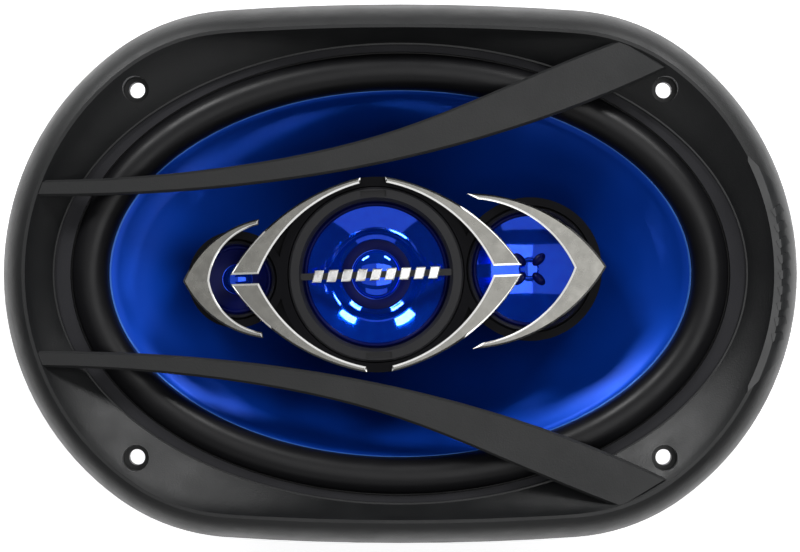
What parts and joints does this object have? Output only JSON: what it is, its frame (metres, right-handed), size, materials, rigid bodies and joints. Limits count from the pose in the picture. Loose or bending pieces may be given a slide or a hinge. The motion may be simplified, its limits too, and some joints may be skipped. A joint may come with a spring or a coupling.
{
  "type": "coaxial car speaker",
  "caption": "Oval coaxial car speaker with trim ring and swoosh bars, metallised cone, ferrite motor and a post-mounted pod of small drivers behind chrome blades.",
  "frame": {"origin": "centre of the four-screw pattern, on the back plane of the mounting flange", "axes": "+Z out of the front of the speaker, +X along the long side towards the end with the larger small driver, +Y along the short side"},
  "size_m": [0.24, 0.163, 0.0929],
  "materials": {
    "trim_plastic": "charcoal moulded plastic, fine grain",
    "badge_plastic": "charcoal moulded plastic, smoother than the ring",
    "gasket_board": "dark grey pressed fibre",
    "surround_rubber": "black moulded butyl rubber",
    "cone_blue": "blue metallised polypropylene",
    "black_fabric": "black dust cloth",
    "spider_fabric": "treated amber woven cloth",
    "former": "thin rolled sheet",
    "winding": "enamelled copper wire",
    "tinsel": "braided tinsel wire",
    "basket_paint": "black epoxy powder coat",
    "rivet_steel": "zinc plated",
    "plated_steel": "zinc plated steel",
    "ferrite": "sintered ferrite",
    "boot_rubber": "black moulded rubber",
    "terminal_plastic": "black glass filled nylon",
    "positive_plating": "gold flashed tab",
    "negative_plating": "tinned tab",
    "post_steel": "turned steel",
    "pod_plastic": "black semi-gloss ABS",
    "ring_plastic": "dark grey satin ABS",
    "mirror_blue": "blue metallised film, mirror finish",
    "edge_blue": "dark blue formed edge",
    "small_steel": "plated steel",
    "small_magnet": "sintered magnet",
    "frame_plastic": "black moulded frame",
    "badge_chrome": "bright chrome plating",
    "blade_chrome": "satin chrome face with polished bevels",
    "capacitor_sleeve": "shrink sleeve"
  },
  "bodies": {
    "frame_body": {"trim_ring": "trim_plastic", "trim_badge": "badge_plastic", "gasket_ring": "gasket_board", "surround": "surround_rubber", "spider": "spider_fabric", "tinsel_leads": "tinsel", "basket": "basket_paint", "basket_rivets": "rivet_steel", "terminal_rivets": "rivet_steel", "post_nut": "rivet_steel", "top_plate": "plated_steel", "pole_yoke": "plated_steel", "magnet": "ferrite", "magnet_boot": "boot_rubber", "terminal_board": "terminal_plastic", "positive_terminal": "positive_plating", "negative_terminal": "negative_plating", "center_post": "post_steel", "pod_housing": "pod_plastic", "mid_ring": "ring_plastic", "tweeter_ring": "ring_plastic", "supertweeter_ring": "ring_plastic", "mid_edge": "edge_blue", "tweeter_edge": "edge_blue", "supertweeter_edge": "edge_blue", "mid_yoke": "small_steel", "mid_top_plate": "small_steel", "tweeter_yoke": "small_steel", "tweeter_top_plate": "small_steel", "supertweeter_yoke": "small_steel", "supertweeter_top_plate": "small_steel", "mid_magnet": "small_magnet", "tweeter_magnet": "small_magnet", "supertweeter_magnet": "small_magnet", "mid_frame": "frame_plastic", "tweeter_frame": "frame_plastic", "supertweeter_frame": "frame_plastic", "badge_studs": "badge_chrome", "blade_upper_left": "blade_chrome", "blade_upper_right": "blade_chrome", "blade_lower_left": "blade_chrome", "blade_lower_right": "blade_chrome", "crescent_left": "blade_chrome", "crescent_right": "blade_chrome", "crossover_capacitors": "capacitor_sleeve"},
    "cone_body": {"cone": "cone_blue", "dust_ring": "black_fabric", "voice_coil_former": "former", "voice_coil_winding": "winding"},
    "mid_body": {"mid_diaphragm": "mirror_blue", "mid_coil": "winding"},
    "tweeter_body": {"tweeter_diaphragm": "mirror_blue", "tweeter_coil": "winding"},
    "supertweeter_body": {"supertweeter_diaphragm": "mirror_blue", "supertweeter_coil": "winding"}
  },
  "joints": [
    {"name": "cone_travel", "type": "slide", "parent": "frame_body", "child": "cone_body", "axis": [0, 0, 1], "range_m": [-0.004, 0.004], "stiffness_N_per_m": 2500, "deforming": ["surround", "spider", "tinsel_leads"]},
    {"name": "mid_travel", "type": "slide", "parent": "frame_body", "child": "mid_body", "axis": [0, 0, 1], "range_m": [-0.0005, 0.0005], "stiffness_N_per_m": 1200, "deforming": ["mid_edge"]},
    {"name": "tweeter_travel", "type": "slide", "parent": "frame_body", "child": "tweeter_body", "axis": [0, 0, 1], "range_m": [-0.0002, 0.0002], "stiffness_N_per_m": 1000, "deforming": ["tweeter_edge"]},
    {"name": "supertweeter_travel", "type": "slide", "parent": "frame_body", "child": "supertweeter_body", "axis": [0, 0, 1], "range_m": [-0.00015, 0.00015], "stiffness_N_per_m": 1000, "deforming": ["supertweeter_edge"]}
  ]
}
